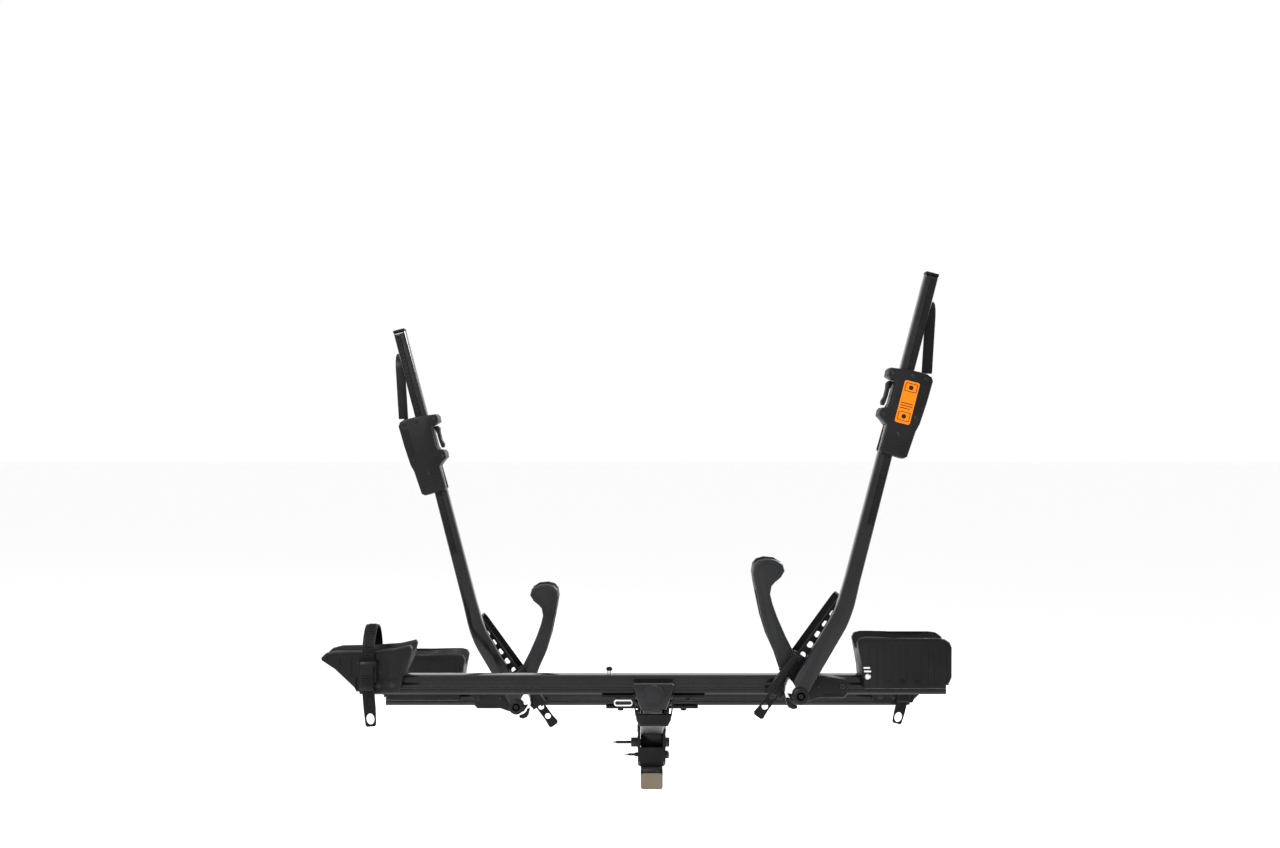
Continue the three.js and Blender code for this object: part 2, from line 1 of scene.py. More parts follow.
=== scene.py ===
import json
import math
import bmesh
import bpy
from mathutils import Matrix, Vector


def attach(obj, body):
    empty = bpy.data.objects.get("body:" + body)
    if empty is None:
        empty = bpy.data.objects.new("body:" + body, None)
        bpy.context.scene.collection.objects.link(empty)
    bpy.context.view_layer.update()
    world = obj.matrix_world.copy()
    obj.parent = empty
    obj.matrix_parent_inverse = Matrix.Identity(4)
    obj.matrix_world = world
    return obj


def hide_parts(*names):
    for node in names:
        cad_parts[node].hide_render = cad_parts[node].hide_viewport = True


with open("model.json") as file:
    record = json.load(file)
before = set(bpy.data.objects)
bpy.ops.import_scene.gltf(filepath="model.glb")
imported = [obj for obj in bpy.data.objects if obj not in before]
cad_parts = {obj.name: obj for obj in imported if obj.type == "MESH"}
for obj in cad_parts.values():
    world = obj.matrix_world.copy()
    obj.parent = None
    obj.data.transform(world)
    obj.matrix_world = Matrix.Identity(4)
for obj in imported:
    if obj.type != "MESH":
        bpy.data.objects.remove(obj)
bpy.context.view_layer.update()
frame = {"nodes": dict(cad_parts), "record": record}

# ---------------------------------------------------------------- sizes, millimetres, as in the CAD part
MM = 0.001
# Each tray's name, its middle in Y, the height of its beam's top, and -1 where it is mirrored in X.
TRAYS = (("outer", -645, 335, 1), ("inner", -289, 246, -1))
# How far a tray is moved along X, by its mirror sign.
SHIFT = {1: 0, -1: -11}
# The straight upper part of the arm, from its bend to its top, as (x, z) in the tray.
ARM_BEND = (374, 133)
ARM_TOP = (546, 795)
LEAN = math.atan((ARM_TOP[0] - ARM_BEND[0]) / (ARM_TOP[1] - ARM_BEND[1]))
SLIDER_Z = 558
SLIDER_X = ARM_BEND[0] + (SLIDER_Z - ARM_BEND[1]) / (ARM_TOP[1] - ARM_BEND[1]) * (ARM_TOP[0] - ARM_BEND[0])
SLIDER_FRONT = -96.0
SLIDER_BACK = -42.1
ARM_AXLE = (288, -91.9, -29)
HOOP_PIVOT = (284, -14)
# The front strap leans about this (x, z) point, and the rear strap's tail hangs from the other.
STRAP_FOOT = (326, 86)
STRAP_LEAN = math.radians(36.1)
HOLE_PITCH = 25.4
TAIL_ROOT = (-566, -26)
# The tail's lean in degrees and the height of its lower end.
TAIL = {"outer": (-4.5, -96), "inner": (-14, -73)}
REAR_LEVER_AXIS = (-66.5, 32)
# The middle of the spine's pivot bolt, as (y, z) in the row frame.
PIVOT = (-170, 96)
BUTTON_FOOT = (-89, -645, 335.4)


# ---------------------------------------------------------------- camera and light
CAMERA_PLACE = (-0.027, -3.642, 0.839)
FOCAL_LENGTH = 41.8
FLOOR_Z = -0.42
FLOOR_HALF_WIDTH = 45


def set_camera():
    cam = bpy.data.objects.new("camera", bpy.data.cameras.new("camera"))
    bpy.context.collection.objects.link(cam)
    cam.data.sensor_width = 36
    cam.data.lens = FOCAL_LENGTH
    cam.location = CAMERA_PLACE
    cam.rotation_euler = (math.radians(90), 0, 0)
    cam.data.clip_end = 60
    bpy.context.scene.camera = cam


def area(name, place, target, size, power):
    light = bpy.data.lights.new(name, "AREA")
    light.shape = "RECTANGLE"
    light.size, light.size_y = size
    light.energy = power
    obj = bpy.data.objects.new(name, light)
    obj.location = place
    obj.rotation_euler = (Vector(target) - Vector(place)).to_track_quat("-Z", "Y").to_euler()
    bpy.context.collection.objects.link(obj)


def set_studio():
    world = bpy.data.worlds.new("studio")
    bpy.context.scene.world = world
    bpy.context.scene.view_settings.view_transform = "Standard"
    world.use_nodes = True
    back = world.node_tree.nodes["Background"]
    back.inputs[0].default_value = (1, 1, 1, 1)
    back.inputs[1].default_value = 1.0
    area("key", (-2.2, -3.0, 3.2), (0, -0.4, 0.4), (1.6, 1.2), 130)
    area("rim", (2.6, 2.2, 2.6), (0, -0.3, 0.4), (2.4, 1.0), 190)


def set_floor():
    mesh = bpy.data.meshes.new("floor")
    bm = bmesh.new()
    bmesh.ops.create_grid(bm, x_segments=2, y_segments=2, size=FLOOR_HALF_WIDTH)
    bm.to_mesh(mesh)
    bm.free()
    floor = bpy.data.objects.new("floor", mesh)
    floor.location = (0, 0, FLOOR_Z)
    bpy.context.collection.objects.link(floor)
    mat = bpy.data.materials.new("floor")
    mat.use_nodes = True
    shader = mat.node_tree.nodes["Principled BSDF"]
    shader.inputs["Base Color"].default_value = (0.97, 0.97, 0.97, 1)
    shader.inputs["Roughness"].default_value = 0.7
    floor.data.materials.append(mat)


# ---------------------------------------------------------------- materials
def surface(name, base, rough, metal=0.0, grain=700, depth=0.25, spread=0.3, wear=None, worn=0.35,
            stretch=(1, 1, 1), coat=0.0, rough_span=0.12, dust=0.0, shine=0.5):
    """A material with mottled colour, uneven gloss, fine relief and rubbed edges, all in object space."""
    mat = bpy.data.materials.new(name)
    mat.use_nodes = True
    tree = mat.node_tree
    nodes, links = tree.nodes, tree.links
    shader = nodes["Principled BSDF"]
    coords = nodes.new("ShaderNodeTexCoord")
    scale = nodes.new("ShaderNodeMapping")
    scale.inputs["Scale"].default_value = stretch
    links.new(coords.outputs["Object"], scale.inputs["Vector"])

    def noise(size, detail, vector=scale.outputs["Vector"]):
        node = nodes.new("ShaderNodeTexNoise")
        node.inputs["Scale"].default_value = size
        node.inputs["Detail"].default_value = detail
        links.new(vector, node.inputs["Vector"])
        return node.outputs["Fac"]

    def ramp(value, low, high, a, b):
        node = nodes.new("ShaderNodeMapRange")
        node.inputs["From Min"].default_value = low
        node.inputs["From Max"].default_value = high
        node.inputs["To Min"].default_value = a
        node.inputs["To Max"].default_value = b
        links.new(value, node.inputs["Value"])
        return node.outputs["Result"]

    def mix(factor, a, b):
        node = nodes.new("ShaderNodeMix")
        node.data_type = "RGBA"
        links.new(factor, node.inputs["Factor"])
        for socket, value in ((node.inputs["A"], a), (node.inputs["B"], b)):
            if isinstance(value, tuple):
                socket.default_value = (*value, 1)
            else:
                links.new(value, socket)
        return node.outputs["Result"]

    broad = noise(9, 3, coords.outputs["Object"])
    fine = noise(grain, 2)
    lighter = tuple(c * (1 + spread) + 0.002 for c in base)
    darker = tuple(c * (1 - spread) for c in base)
    colour = mix(ramp(broad, 0.35, 0.65, 0, 1), darker, lighter)
    if dust:
        speck = noise(1500, 1, coords.outputs["Object"])
        pale = tuple(min(1, c + 0.12) for c in base)
        colour = mix(ramp(speck, 0.62, 0.75, 0, dust), colour, pale)
    gloss = ramp(noise(45, 4, coords.outputs["Object"]), 0.3, 0.7, rough - rough_span, rough + rough_span)
    if wear:
        bevel = nodes.new("ShaderNodeBevel")
        bevel.samples = 4
        bevel.inputs["Radius"].default_value = 0.0016
        here = nodes.new("ShaderNodeNewGeometry")
        dot = nodes.new("ShaderNodeVectorMath")
        dot.operation = "DOT_PRODUCT"
        links.new(bevel.outputs["Normal"], dot.inputs[0])
        links.new(here.outputs["Normal"], dot.inputs[1])
        edge = ramp(dot.outputs["Value"], 0.99, 0.86, 0, worn)
        patch = ramp(noise(120, 4, coords.outputs["Object"]), 0.45, 0.62, 0, 1)
        both = nodes.new("ShaderNodeMath")
        both.operation = "MULTIPLY"
        links.new(edge, both.inputs[0])
        links.new(patch, both.inputs[1])
        colour = mix(both.outputs[0], colour, wear)
    links.new(colour, shader.inputs["Base Color"])
    links.new(gloss, shader.inputs["Roughness"])
    shader.inputs["Metallic"].default_value = metal
    shader.inputs["Coat Weight"].default_value = coat
    shader.inputs["Specular IOR Level"].default_value = shine
    bump = nodes.new("ShaderNodeBump")
    bump.inputs["Strength"].default_value = depth
    bump.inputs["Distance"].default_value = 0.0004
    links.new(fine, bump.inputs["Height"])
    links.new(bump.outputs["Normal"], shader.inputs["Normal"])
    return mat


BLACK_ALLOY = (0.006, 0.0062, 0.007)
BLACK_PAINT = (0.005, 0.0051, 0.0056)
BLACK_PLASTIC = (0.005, 0.0051, 0.0058)


def make_materials():
    """The beam's and the arm's anodising differ only in the way their drawing lines run."""
    rubbed_alloy = (0.13, 0.13, 0.14)
    return {
        "black_alloy": surface("anodised_black", BLACK_ALLOY, 0.17, 0.0, 500, 0.06, 0.2, rubbed_alloy, 0.22,
                               stretch=(0.08, 1, 1), coat=0.14, rough_span=0.05, shine=0.22),
        "arm_alloy": surface("anodised_black_arm", BLACK_ALLOY, 0.17, 0.0, 500, 0.06, 0.2, rubbed_alloy, 0.22,
                             stretch=(1, 1, 0.08), coat=0.16, rough_span=0.05, shine=0.24),
        "black_steel": surface("powder_coat", BLACK_PAINT, 0.45, 0, 420, 0.35, 0.3,
                               (0.06, 0.057, 0.054), 0.3, shine=0.16),
        "black_plastic": surface("moulded_black", BLACK_PLASTIC, 0.46, 0, 1100, 0.45, 0.3,
                                 (0.04, 0.04, 0.042), 0.35, shine=0.17),
        "grey_plastic": surface("moulded_grey", (0.013, 0.0134, 0.0146), 0.46, 0, 1000, 0.4, 0.25,
                                (0.07, 0.07, 0.072), 0.4, shine=0.2),
        "strap": surface("strap_polymer", (0.005, 0.0051, 0.0056), 0.46, 0, 900, 0.3, 0.35,
                         (0.045, 0.045, 0.045), 0.4, shine=0.12),
        "pad_rubber": surface("pad_rubber", (0.009, 0.009, 0.009), 0.82, 0, 1300, 0.7, 0.35,
                              dust=0.15, shine=0.1),
        "silver_alloy": surface("bare_alloy", (0.8, 0.81, 0.83), 0.3, 1.0, 800, 0.2, 0.06,
                                (0.4, 0.4, 0.41), 0.4, stretch=(0.1, 1, 1)),
        "zinc_steel": surface("black_oxide", (0.024, 0.024, 0.0255), 0.34, 0.9, 650, 0.25, 0.18,
                              (0.15, 0.145, 0.14), 0.35),
        "plug_plastic": surface("beige_plug", (0.15, 0.125, 0.09), 0.6, 0, 900, 0.4, 0.12,
                                (0.1, 0.085, 0.06), 0.4, shine=0.15),
        "orange": surface("orange_decal", (0.82, 0.19, 0.003), 0.4, 0, 600, 0.1, 0.04,
                          (0.7, 0.3, 0.1), 0.3, shine=0.12),
        "ink": surface("decal_ink", (0.012, 0.009, 0.007), 0.4, 0, 600, 0.1, 0.2, shine=0.1),
    }


# ---------------------------------------------------------------- mesh helpers
SMOOTH_BELOW = math.radians(40)


def add_object(name, bm, mat, body, bevel):
    bmesh.ops.remove_doubles(bm, verts=bm.verts, dist=1e-6)
    bmesh.ops.recalc_face_normals(bm, faces=bm.faces)
    for f in bm.faces:
        f.smooth = True
    for e in bm.edges:
        e.smooth = len(e.link_faces) == 2 and e.calc_face_angle(0) < SMOOTH_BELOW
    mesh = bpy.data.meshes.new(name)
    bm.to_mesh(mesh)
    bm.free()
    obj = bpy.data.objects.new(name, mesh)
    bpy.context.collection.objects.link(obj)
    obj.data.materials.append(MATS[mat])
    if bevel:
        soften(obj, bevel)
    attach(obj, body)
    return obj


def soften(obj, width):
    mod = obj.modifiers.new("edges", "BEVEL")
    mod.width = width
    mod.segments = 2
    mod.limit_method = "ANGLE"
    mod.angle_limit = math.radians(32)
    mod.harden_normals = True


def refine(node, mat, body, bevel):
    """A copy of a CAD node with rounded edges and smooth curved faces, shown in its place."""
    source = frame["nodes"][node]
    bm = bmesh.new()
    bm.from_mesh(source.data)
    bm.transform(source.matrix_world)
    bmesh.ops.remove_doubles(bm, verts=bm.verts, dist=2e-5)
    bmesh.ops.dissolve_limit(bm, angle_limit=math.radians(0.8), verts=bm.verts, edges=bm.edges)
    obj = add_object(node + "_finished", bm, mat, body, bevel)
    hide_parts(node)


class Sketch:
    """Solids gathered into one piece, in a local millimetre frame that place() maps to the row frame."""

    def __init__(self, place):
        self.bm = bmesh.new()
        self.place = place

    def vert(self, x, y, z):
        return self.bm.verts.new(self.place(x, y, z))

    def loft(self, rings, closed=False):
        """Faces between rings of points, capped at both ends unless the rings close on themselves."""
        rows = [[self.vert(*p) for p in ring] for ring in rings]
        n = len(rows[0])
        pairs = list(zip(rows, rows[1:])) + ([(rows[-1], rows[0])] if closed else [])
        for a, b in pairs:
            for i in range(n):
                self.bm.faces.new((a[i], a[(i + 1) % n], b[(i + 1) % n], b[i]))
        if not closed:
            self.bm.faces.new(rows[0])
            self.bm.faces.new(list(reversed(rows[-1])))

    def plate(self, outline, y0, y1):
        """An (x, z) outline between two y planes."""
        self.loft([[(x, y, z) for x, z in outline] for y in (y0, y1)])

    def block(self, x0, x1, y0, y1, z0, z1):
        self.plate([(x0, z0), (x1, z0), (x1, z1), (x0, z1)], y0, y1)

    def turned(self, centre, axis, profile, count=24):
        """A profile of (along, radius) turned about an axis through centre."""
        a = Vector(axis).normalized()
        u = a.orthogonal().normalized()
        v = a.cross(u)
        c = Vector(centre)
        rings = []
        for t, r in profile:
            ring = []
            for i in range(count):
                g = 2 * math.pi * i / count
                ring.append(tuple(c + a * t + (u * math.cos(g) + v * math.sin(g)) * max(r, 0.01)))
            rings.append(ring)
        self.loft(rings)

    def wire(self, path, r, closed=False, count=8):
        """A round wire of radius r along a path of points."""
        pts = [Vector(p) for p in path]
        n = len(pts)
        rings = []
        side = None
        for i, p in enumerate(pts):
            a = pts[(i - 1) % n] if closed else pts[max(i - 1, 0)]
            b = pts[(i + 1) % n] if closed else pts[min(i + 1, n - 1)]
            t = (b - a).normalized()
            if side is None:
                side = t.orthogonal().normalized()
            side = (side - t * side.dot(t)).normalized()
            up = t.cross(side)
            rings.append([tuple(p + (side * math.cos(g) + up * math.sin(g)) * r)
                          for g in (2 * math.pi * k / count for k in range(count))])
        self.loft(rings, closed)

    def hex_head(self, centre, axis, r, h):
        """A six-sided head on a thin washer."""
        self.turned(centre, axis, [(-0.2, r * 1.25), (0.9, r * 1.25), (0.9, r * 1.25 - 0.4)], 28)
        self.turned(centre, axis, [(0.7, r), (h - 0.8, r), (h, r * 0.86)], 6)

    def socket_head(self, centre, axis, r, h):
        """A round head with a dished recess."""
        profile = [(-0.3, r), (h * 0.6, r), (h, r * 0.8), (h, r * 0.5), (h * 0.25, r * 0.42)]
        self.turned(centre, axis, profile)

    def finish(self, name, mat, body, bevel):
        add_object(name, self.bm, mat, body, bevel)


def rounded(x0, x1, z0, z1, r, steps=5):
    """A rectangle's outline with corners of radius r."""
    pts = []
    for cx, cz, q in ((x1 - r, z1 - r, 0), (x0 + r, z1 - r, 1), (x0 + r, z0 + r, 2), (x1 - r, z0 + r, 3)):
        for i in range(steps + 1):
            a = (q + i / steps) * math.pi / 2
            pts.append((cx + r * math.cos(a), cz + r * math.sin(a)))
    return pts


# ---------------------------------------------------------------- local frames, each a function of (x, y, z)
def world_mm(x, y, z):
    return (x * MM, y * MM, z * MM)


def tray_place(y0, top, s):
    return lambda x, y, z: ((s * x + SHIFT[s]) * MM, (y + y0) * MM, (z + top) * MM)


def arm_place(y0, top, s):
    c, n = math.cos(LEAN), math.sin(LEAN)
    base = tray_place(y0, top, s)
    return lambda x, y, z: base(SLIDER_X + x * c + z * n, y, SLIDER_Z - x * n + z * c)


def strap_place(y0, top, s):
    c, n = math.cos(STRAP_LEAN), math.sin(STRAP_LEAN)
    base = tray_place(y0, top, s)
    return lambda x, y, z: base(STRAP_FOOT[0] + x * c + z * n, y, STRAP_FOOT[1] - x * n + z * c)


# ---------------------------------------------------------------- finished copies of the CAD pieces
REFINED = {
    "beam": ("black_alloy", 0.0006), "beam_plug": ("black_plastic", 0.0006),
    "rear_cradle": ("black_plastic", 0.0012), "rear_strap": ("strap", 0.0005),
    "rear_buckle": ("black_plastic", 0.0007), "rear_buckle_lever": ("black_plastic", 0.0006),
    "front_tray": ("black_plastic", 0.0012), "hoop": ("grey_plastic", 0.0014),
    "arm_bracket": ("black_plastic", 0.0012), "arm_axle": ("black_plastic", 0.0006),
    "arm_tube": ("arm_alloy", 0.0008), "arm_rack": ("black_plastic", 0.0003),
    "arm_cap": ("black_plastic", 0.0010), "arm_latch": ("silver_alloy", 0.0008),
    "latch_tab": ("black_plastic", 0.0008), "slider_body": ("black_plastic", 0.0014),
    "slider_trigger": ("black_plastic", 0.0010), "hook_band": ("black_steel", 0.0007),
    "hook_pad": ("pad_rubber", 0.0008), "front_strap": ("strap", 0.0004),
    "front_buckle": ("black_plastic", 0.0008), "front_buckle_lever": ("black_plastic", 0.0006),
}
COMMON = {
    "hitch_frame": ("black_steel", 0.0008), "stinger_plug": ("plug_plastic", 0.0010),
    "pivot_bolt": ("zinc_steel", 0.0004), "lock_pin": ("zinc_steel", 0.0004),
    "spine": ("black_steel", 0.0008), "end_casting": ("black_alloy", 0.0010),
    "end_shield": ("grey_plastic", 0.0008), "tilt_lever": ("black_plastic", 0.0012),
    "safety_loop": ("silver_alloy", 0.0004), "outer_tray_bracket": ("black_steel", 0.0008),
    "inner_tray_bracket": ("black_steel", 0.0008), "rest_button": ("pad_rubber", 0.0004),
}


def refine_all():
    record = frame["record"]
    body_of = {node: body for body, nodes in record["behaviour"]["bodies"].items() for node in nodes}
    looks = {f"{tray[0]}_{name}": look for tray in TRAYS for name, look in REFINED.items()}
    looks.update(COMMON)
    for node, (mat, bevel) in looks.items():
        refine(node, mat, body_of[node], bevel)


# ---------------------------------------------------------------- small pieces of each tray
def decal_details(at, body, face):
    """A plain label with framed dots and bars, and no lettering."""
    decal = Sketch(at)
    decal.plate(rounded(-2, 28, -51, 33, 4), face - 0.5, face + 0.3)
    decal.finish("slider_decal", "orange", body, 0.0001)
    ink = Sketch(at)
    marks = ((1, 25, 12, 29), (1, 25, -12, -10.5), (1, 25, -17, -15.5), (1, 21, -22, -20.5),
             (1, 25, -46, -28))
    for x0, x1, z0, z1 in marks:
        outer = rounded(x0, x1, z0, z1, min(2.2, (z1 - z0) / 2.2), 3)
        if z1 - z0 > 5:
            inner = rounded(x0 + 1.2, x1 - 1.2, z0 + 1.2, z1 - 1.2, 1.4, 3)
            for a in range(len(outer)):
                b = (a + 1) % len(outer)
                ink.plate([outer[a], outer[b], inner[b], inner[a]], face - 0.75, face - 0.3)
        else:
            ink.plate(outer, face - 0.75, face - 0.3)
    for cx, cz in ((13, 20.5), (13, -37)):
        ink.turned((cx, face - 0.3, cz), (0, -1, 0), [(0, 4.6), (0.45, 4.6)], 20)
    ink.finish("slider_decal_marks", "ink", body, 0)


def slider_details(n, y0, top, s):
    at = arm_place(y0, top, s)
    body = f"{n}_slider"
    face = SLIDER_FRONT
    if n == "outer":
        decal_details(at, body, face)
    screws = Sketch(at)
    for x, z in ((-28, 41), (-26, -42), (38, 44), (37, -34), (12, -72), (12, 44)):
        screws.socket_head((x, face + 0.1, z), (0, -1, 0), 4.0, 1.5)
        screws.socket_head((x, SLIDER_BACK, z), (0, 1, 0), 4.0, 1.5)
    screws.finish(f"{n}_slider_screws", "zinc_steel", body, 0.0002)
    grip = Sketch(at)
    for i in range(5):
        z = -111 + i * 6.6
        grip.plate(rounded(-10, 34, z, z + 3.0, 1.4, 3), face - 0.8, face + 0.6)
    grip.plate(rounded(34, 46.5, -26, 34, 5), face - 0.9, face + 0.4)
    grip.finish(f"{n}_slider_ribs", "black_plastic", body, 0.0004)
    seam = Sketch(at)
    side = [(19, -117), (34, -117), (40, -112), (44, -60), (48, -44), (51, 0), (52, 44), (47, 52), (38, 55),
            (19, 55)]
    seam.wire([(x * 1.002, -69.2, z * 1.002) for x, z in side], 0.7)
    seam.finish(f"{n}_slider_seam", "black_plastic", body, 0)


def arm_details(n, y0, top, s):
    at = arm_place(y0, top, s)
    tray = tray_place(y0, top, s)
    body = f"{n}_arm"
    strip = Sketch(at)
    strip.block(-1.9, -0.4, -85.5, -84.5, -262, 240)
    strip.block(9.4, 10.9, -85.5, -84.5, -262, 240)
    strip.finish(f"{n}_arm_rails", "black_plastic", body, 0.0002)
    cap = Sketch(at)
    cap.plate(rounded(-9.5, 9.5, 250.2, 251.4, 0.4, 2), -80, -60)
    cap.finish(f"{n}_arm_cap_pad", "black_plastic", body, 0.0003)
    low = Sketch(tray)
    dished = [(0, 12), (0.8, 11.6), (0.8, 9), (0.1, 8.4), (0.1, 5), (1.4, 4.6), (1.4, 0.5)]
    low.turned(ARM_AXLE, (0, -1, 0), dished, 32)
    low.finish(f"{n}_axle_cap", "black_plastic", "spine", 0.0002)
    tab = Sketch(tray)
    for x, z in ((265.5, -52.6), (269.5, -54.4), (273.5, -55.7), (277.5, -55)):
        tab.turned((x, -78.5, z), (0, 1, 0), [(0, 1.1), (17, 1.1)], 10)
    tab.finish(f"{n}_tab_ribs", "black_plastic", f"{n}_latch_tab", 0)
    latch = Sketch(tray)
    for i in range(3):
        latch.block(262.4 + i * 0.5, 270.6 + i * 0.9, -88.5, -87.5, -18.6 + i * 5, -16.6 + i * 5)
    latch.finish(f"{n}_latch_ribs", "silver_alloy", body, 0.0003)


def along(path, step):
    """Points every step along an open path, with the direction of the path at each."""
    out, left = [], step / 2
    for (ax, ay), (bx, by) in zip(path, path[1:]):
        length = math.hypot(bx - ax, by - ay)
        ux, uy = (bx - ax) / length, (by - ay) / length
        while left < length:
            out.append((ax + ux * left, ay + uy * left, ux, uy))
            left += step
        left -= length
    return out


def cradle_details(n, y0, top, s):
    at = tray_place(y0, top, s)
    body = f"{n}_cradle"
    ribs = Sketch(at)
    for side in (-1, 1):
        for i in range(7):
            x = -650 + i * 24
            if abs(x - TAIL_ROOT[0]) < 20:
                continue
            low = max(3, 20 + (-633 - x) * 0.8)
            ribs.block(x, x + 2.6, side * 46.8, side * 45.2, low, 41)
        lip = [(-652, 42), (-633, 46.5), (-573, 47.5), (-515, 51.5), (-492, 56.5), (-492, 59.5), (-515, 54.5),
               (-573, 50.5), (-633, 49.5), (-652, 45)]
        ribs.plate(lip, side * 47.2, side * 45.0)
    ribs.finish(f"{n}_cradle_ribs", "black_plastic", body, 0.0005)
    bolts = Sketch(at)
    for x, z in ((-548, -14), (-520, -14)):
        for side in (-1, 1):
            bolts.hex_head((x, side * 42.0, z), (0, side, 0), 5.2, 4.2)
    bolts.finish(f"{n}_cradle_bolts", "zinc_steel", body, 0.0002)
    teeth = Sketch(at)
    arch = [(48.6, 20), (48.6, 50), (45, 64), (37, 78), (25, 90), (12, 97), (0, 99), (-12, 97), (-25, 90),
            (-37, 78), (-45, 64), (-48.6, 50), (-48.6, 40)]
    for y, z, uy, uz in along(arch, 5.0):
        teeth.turned((-573, y + 1.7 * uz, z - 1.7 * uy), (1, 0, 0), [(0, 1.1), (14, 1.1)], 8)
    lean, bottom = TAIL[n]
    c, k = math.cos(math.radians(lean)), math.sin(math.radians(lean))
    tail = Sketch(lambda x, y, z: at(TAIL_ROOT[0] + x * c + z * k, y, TAIL_ROOT[1] - x * k + z * c))
    low = (bottom - TAIL_ROOT[1]) / c + 27
    z = -4.0
    while z > low:
        tail.block(-7, 7, -50.9, -49.8, z - 2, z)
        z -= 4.6
    tail.finish(f"{n}_rear_tail_teeth", "strap", body, 0.0002)
    teeth.finish(f"{n}_rear_strap_teeth", "strap", body, 0.0002)
    pin = Sketch(at)
    pin.turned((-585.0, *REAR_LEVER_AXIS), (1, 0, 0), [(0, 1.9), (0.8, 2.4), (37.2, 2.4), (38, 1.9)], 16)
    pin.finish(f"{n}_rear_buckle_pin", "zinc_steel", body, 0.0002)
    cheeks = Sketch(at)
    for x in (-583.8, -552.6):
        cheeks.block(x, x + 4.4, -69.2, -58.0, 26, 35.6)
    cheeks.finish(f"{n}_rear_buckle_cheeks", "black_plastic", body, 0.0008)
    grip = Sketch(at)
    for i in range(5):
        grip.block(-577, -555, -70.8 - 0.3 * i, -68.2, 4 - 5 * i, 6.2 - 5 * i)
    grip.finish(f"{n}_rear_lever_ribs", "black_plastic", f"{n}_rear_lever", 0.0004)


def front_details(n, y0, top, s):
    at = tray_place(y0, top, s)
    rim = Sketch(at)
    for side in (-1, 1):
        lip = [(410, 71), (422, 75.5), (562, 75.5), (575, 73), (584, 67), (587, 60), (590, 60), (587, 69),
               (577, 76.4), (562, 79.2), (422, 79.2), (411.5, 75.5)]
        rim.plate(lip, side * 51.2, side * 47.0)
        for i in range(8):
            x = 426 + i * 15
            rim.block(x, x + 2.4, side * 50.8, side * 49.2, -17, 66)
    rim.finish(f"{n}_front_tray_ribs", "black_plastic", "spine", 0.0006)
    metal = Sketch(at)
    metal.block(417, 431, -52.4, -49.6, 12, 15.5)
    metal.block(416, 429, -52.4, -49.6, 19, 22.5)
    metal.hex_head((425, -49.6, 3), (0, -1, 0), 4.6, 3.6)
    metal.finish(f"{n}_front_tray_clip", "silver_alloy", "spine", 0.0004)
    # Matte dark plates on the side walls stand in for the drain slots as painted shade of their openings; no
    # slot is cut.
    holes = Sketch(at)
    for i in range(3):
        for side in (-1, 1):
            holes.plate(rounded(458 + i * 30, 470 + i * 30, -10, -3, 3.4), side * 50.5, side * 49.9)
    holes.finish(f"{n}_front_tray_slot_shade", "pad_rubber", "spine", 0.0002)


HOOP_SIDE = ((265.7, -24), (256, 5.5), (244, 42), (227, 80), (215, 119), (208, 154), (202, 182), (198.5, 205),
             (201, 222), (209, 231), (224, 235), (244, 233), (258, 224), (262, 210), (254, 197), (243, 188),
             (236, 180), (233, 164), (238, 144), (247, 119), (264, 80), (283.5, 42), (296, 7.5), (301, -12),
             (296, -27), (283.5, -33), (273, -31))


def hoop_details(n, y0, top, s):
    at = tray_place(y0, top, s)
    body = f"{n}_hoop"
    count = len(HOOP_SIDE)

    def inset(i, d):
        (ax, az), (bx, bz) = HOOP_SIDE[i - 1], HOOP_SIDE[(i + 1) % count]
        length = math.hypot(bx - ax, bz - az)
        x, z = HOOP_SIDE[i]
        return (x + d * (bz - az) / length, z - d * (bx - ax) / length)

    flange = Sketch(at)
    outer = [inset(i, 5.2) for i in range(count)]
    inner = [inset(i, 8.4) for i in range(count)]
    for side in (-1, 1):
        for i in range(1, count):
            flange.plate([outer[i - 1], outer[i], inner[i], inner[i - 1]], side * 35.3, side * 33.8)
    flange.finish(f"{n}_hoop_flange", "grey_plastic", body, 0)
    pivot = Sketch(at)
    for side in (-1, 1):
        dished = [(0, 11), (2.2, 11), (3.2, 9.5), (3.2, 6.2), (1.2, 5.4), (1.2, 0.5)]
        pivot.turned((HOOP_PIVOT[0], side * 34.2, HOOP_PIVOT[1]), (0, side, 0), dished, 28)
    pivot.finish(f"{n}_hoop_pivot_caps", "black_plastic", body, 0.0002)


def strap_details(n, y0, top, s):
    at = strap_place(y0, top, s)
    teeth = Sketch(at)
    holes = [(2 - i) * HOLE_PITCH for i in range(10)]
    z = -176.0
    while z < 58:
        near_hole = min(abs(z + 1 - hole) for hole in holes) < 8.5
        in_buckle = -150 < z < -50
        if not near_hole and not in_buckle:
            teeth.block(-7.6, 7.6, -42.9, -41.7, z, z + 1.7)
        z += 3.4
    teeth.finish(f"{n}_front_strap_teeth", "strap", "spine", 0.0001)
    lever = Sketch(at)
    for i in range(6):
        lever.block(-15.2, -3.4, -54.0, -52.4, -146 + i * 4.6, -144 + i * 4.6)
    lever.finish(f"{n}_front_lever_ribs", "black_plastic", f"{n}_front_lever", 0.0003)
    pins = Sketch(at)
    pins.turned((-20.0, -50.5, -58), (1, 0, 0), [(0, 1.4), (0.6, 1.9), (20.6, 1.9), (21.2, 1.4)], 16)
    pins.turned((-21.6, -41, -99), (1, 0, 0), [(0, 3.0), (1.4, 3.8), (5, 3.8), (5, 2.6), (39, 2.6)], 16)
    pins.finish(f"{n}_front_buckle_pins", "zinc_steel", "spine", 0.0002)
    cheeks = Sketch(at)
    for x0, x1 in ((-19.6, -16.8), (-1.8, 1.2)):
        cheeks.block(x0, x1, -53.0, -43.0, -66, -52)
    cheeks.block(13.4, 16.6, -49.0, -46.0, -140, -54)
    cheeks.finish(f"{n}_front_buckle_cheeks", "black_plastic", "spine", 0.0006)


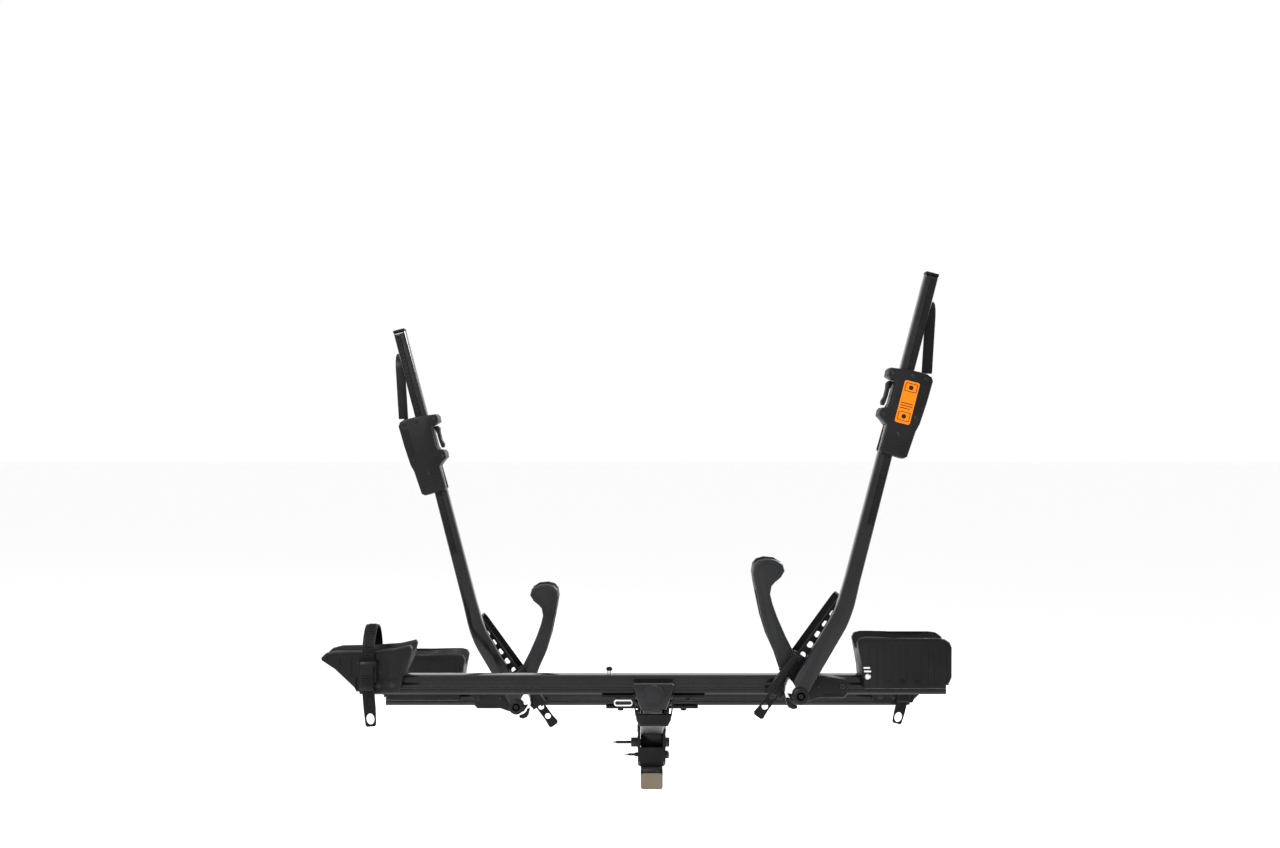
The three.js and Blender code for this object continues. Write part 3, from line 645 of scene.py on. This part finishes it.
def bracket_details(n, y0, top, s):
    at = tray_place(y0, top, s)
    screws = Sketch(at)
    screws.socket_head((374, -51.9, -15.5), (0, -1, 0), 5.6, 2.4)
    screws.socket_head((327, -51.9, -16), (0, -1, 0), 3.2, 1.6)
    screws.finish(f"{n}_bracket_screws", "zinc_steel", "spine", 0.0002)
    ribs = Sketch(at)
    ribs.plate([(322, 0.6), (336, 1.2), (378, -6), (378, -8.2), (336, -1.2), (322, -1.8)], -53.2, -51.5)
    ribs.plate([(340, -33), (376, -33), (376, -35), (340, -35)], -53.2, -51.5)
    ribs.finish(f"{n}_bracket_ribs", "black_plastic", "spine", 0.0004)
    bolts = Sketch(world_mm)
    for x in (-71, 71):
        bolts.hex_head((x, y0, top - 44.2), (0, 0, -1), 6.8, 8.5)
    bolts.finish(f"{n}_tray_bolts", "black_steel", "spine", 0.0003)


# ---------------------------------------------------------------- small pieces of the spine and the hitch
def shield_details():
    """A raised border round the blank shield."""
    border = Sketch(world_mm)
    outer = [(0, 323), (6.6, 320.2), (14.3, 318.2), (19.4, 312.6), (21.8, 302), (19, 290.4), (11.5, 281.8),
             (0, 280)]
    inner = [(0, 319.6), (5.6, 317), (12.6, 315), (16.6, 310.6), (18.6, 302), (16, 292), (9.8, 285.2),
             (0, 283.4)]
    for k in range(len(outer) - 1):
        for side in (-1, 1):
            quad = [outer[k], outer[k + 1], inner[k + 1], inner[k]]
            border.plate([(side * x, z) for x, z in quad], -707.3, -706.2)
    border.finish("shield_border", "grey_plastic", "spine", 0)


def spine_details():
    screws = Sketch(world_mm)
    for x in (-31, 31):
        screws.socket_head((x, -701.9, 314), (0, -1, 0), 3.4, 1.6)
    screws.finish("casting_screws", "zinc_steel", "spine", 0.0002)
    ribs = Sketch(world_mm)
    for i in range(4):
        z = 245.5 + i * 4.0
        w = 24.5 + i * 1.6
        ribs.plate(rounded(-w, w, z, z + 1.7, 0.7, 3), -708.9, -707.4)
    ribs.finish("tilt_lever_ribs", "black_plastic", "tilt_lever", 0.0003)
    shank = Sketch(world_mm)
    shank.turned(BUTTON_FOOT, (0, 0, 1), [(0, 4.3), (6.4, 4.3)], 24)
    shank.finish("rest_button_shank", "silver_alloy", "spine", 0)
    bolts = Sketch(world_mm)
    for _, y, top, _ in TRAYS:
        for side in (-1, 1):
            bolts.hex_head((side * 31.4, y + 4, top - 58), (side, 0, 0), 6.5, 5.5)
    bolts.finish("saddle_bolts", "zinc_steel", "spine", 0.0003)


def weld_details():
    """Uneven beads where the side plates meet the hitch tube."""
    weld = Sketch(world_mm)
    for side in (-1, 1):
        path = []
        for i in range(56):
            x = side * (26.0 + 0.35 * math.sin(i * 2.1))
            path.append((x, -196 + i * 2.3, 50.6 + 0.5 * math.sin(i * 1.9)))
        weld.wire(path, 2.2)
        low = []
        for i in range(50):
            x = side * (27.4 + 0.3 * math.sin(i * 2.3))
            low.append((x, -176 + i * 2.1, 42.6 - i * 0.42 + 0.4 * math.sin(i * 1.7)))
        weld.wire(low, 1.8)
    weld.finish("weld_beads", "black_steel", "hitch", 0)


def hitch_details():
    nuts = Sketch(world_mm)
    nuts.hex_head((-32.2, *PIVOT), (-1, 0, 0), 12.2, 16)
    nuts.hex_head((32.4, *PIVOT), (1, 0, 0), 12.2, 9.5)
    for i in range(12):
        x = -50 - i * 2.6
        nuts.turned((x, *PIVOT), (-1, 0, 0), [(0, 3.4), (0.8, 3.9), (1.6, 3.4)], 18)
    nuts.finish("pivot_nuts", "zinc_steel", "hitch", 0.0004)
    rivets = Sketch(world_mm)
    for side in (-1, 1):
        for y, z in ((-204, 130), (-156, 130)):
            rivets.turned((side * 32.0, y, z), (side, 0, 0), [(0, 5), (1.6, 5), (2.8, 3.4), (3.2, 1)], 20)
    rivets.finish("plate_rivets", "silver_alloy", "hitch", 0)
    rim = Sketch(world_mm)
    for side in (-1, 1):
        ring = [(side * 25.5, 9.0 * math.cos(a), 25.4 + 9.0 * math.sin(a))
                for a in (2 * math.pi * k / 28 for k in range(28))]
        rim.wire(ring, 0.8, closed=True)
    rim.finish("pin_hole_rims", "zinc_steel", "hitch", 0)
    link = Sketch(world_mm)
    link.plate([(33.4, 60), (39.6, 56), (41, 60), (38, 68), (33.4, 70)], -166, -152)
    link.finish("lock_pin_link", "black_steel", "hitch", 0.0008)


set_camera()
set_studio()
set_floor()
MATS = make_materials()
refine_all()
for tray in TRAYS:
    slider_details(*tray)
    arm_details(*tray)
    cradle_details(*tray)
    front_details(*tray)
    hoop_details(*tray)
    strap_details(*tray)
    bracket_details(*tray)
shield_details()
spine_details()
hitch_details()
weld_details()
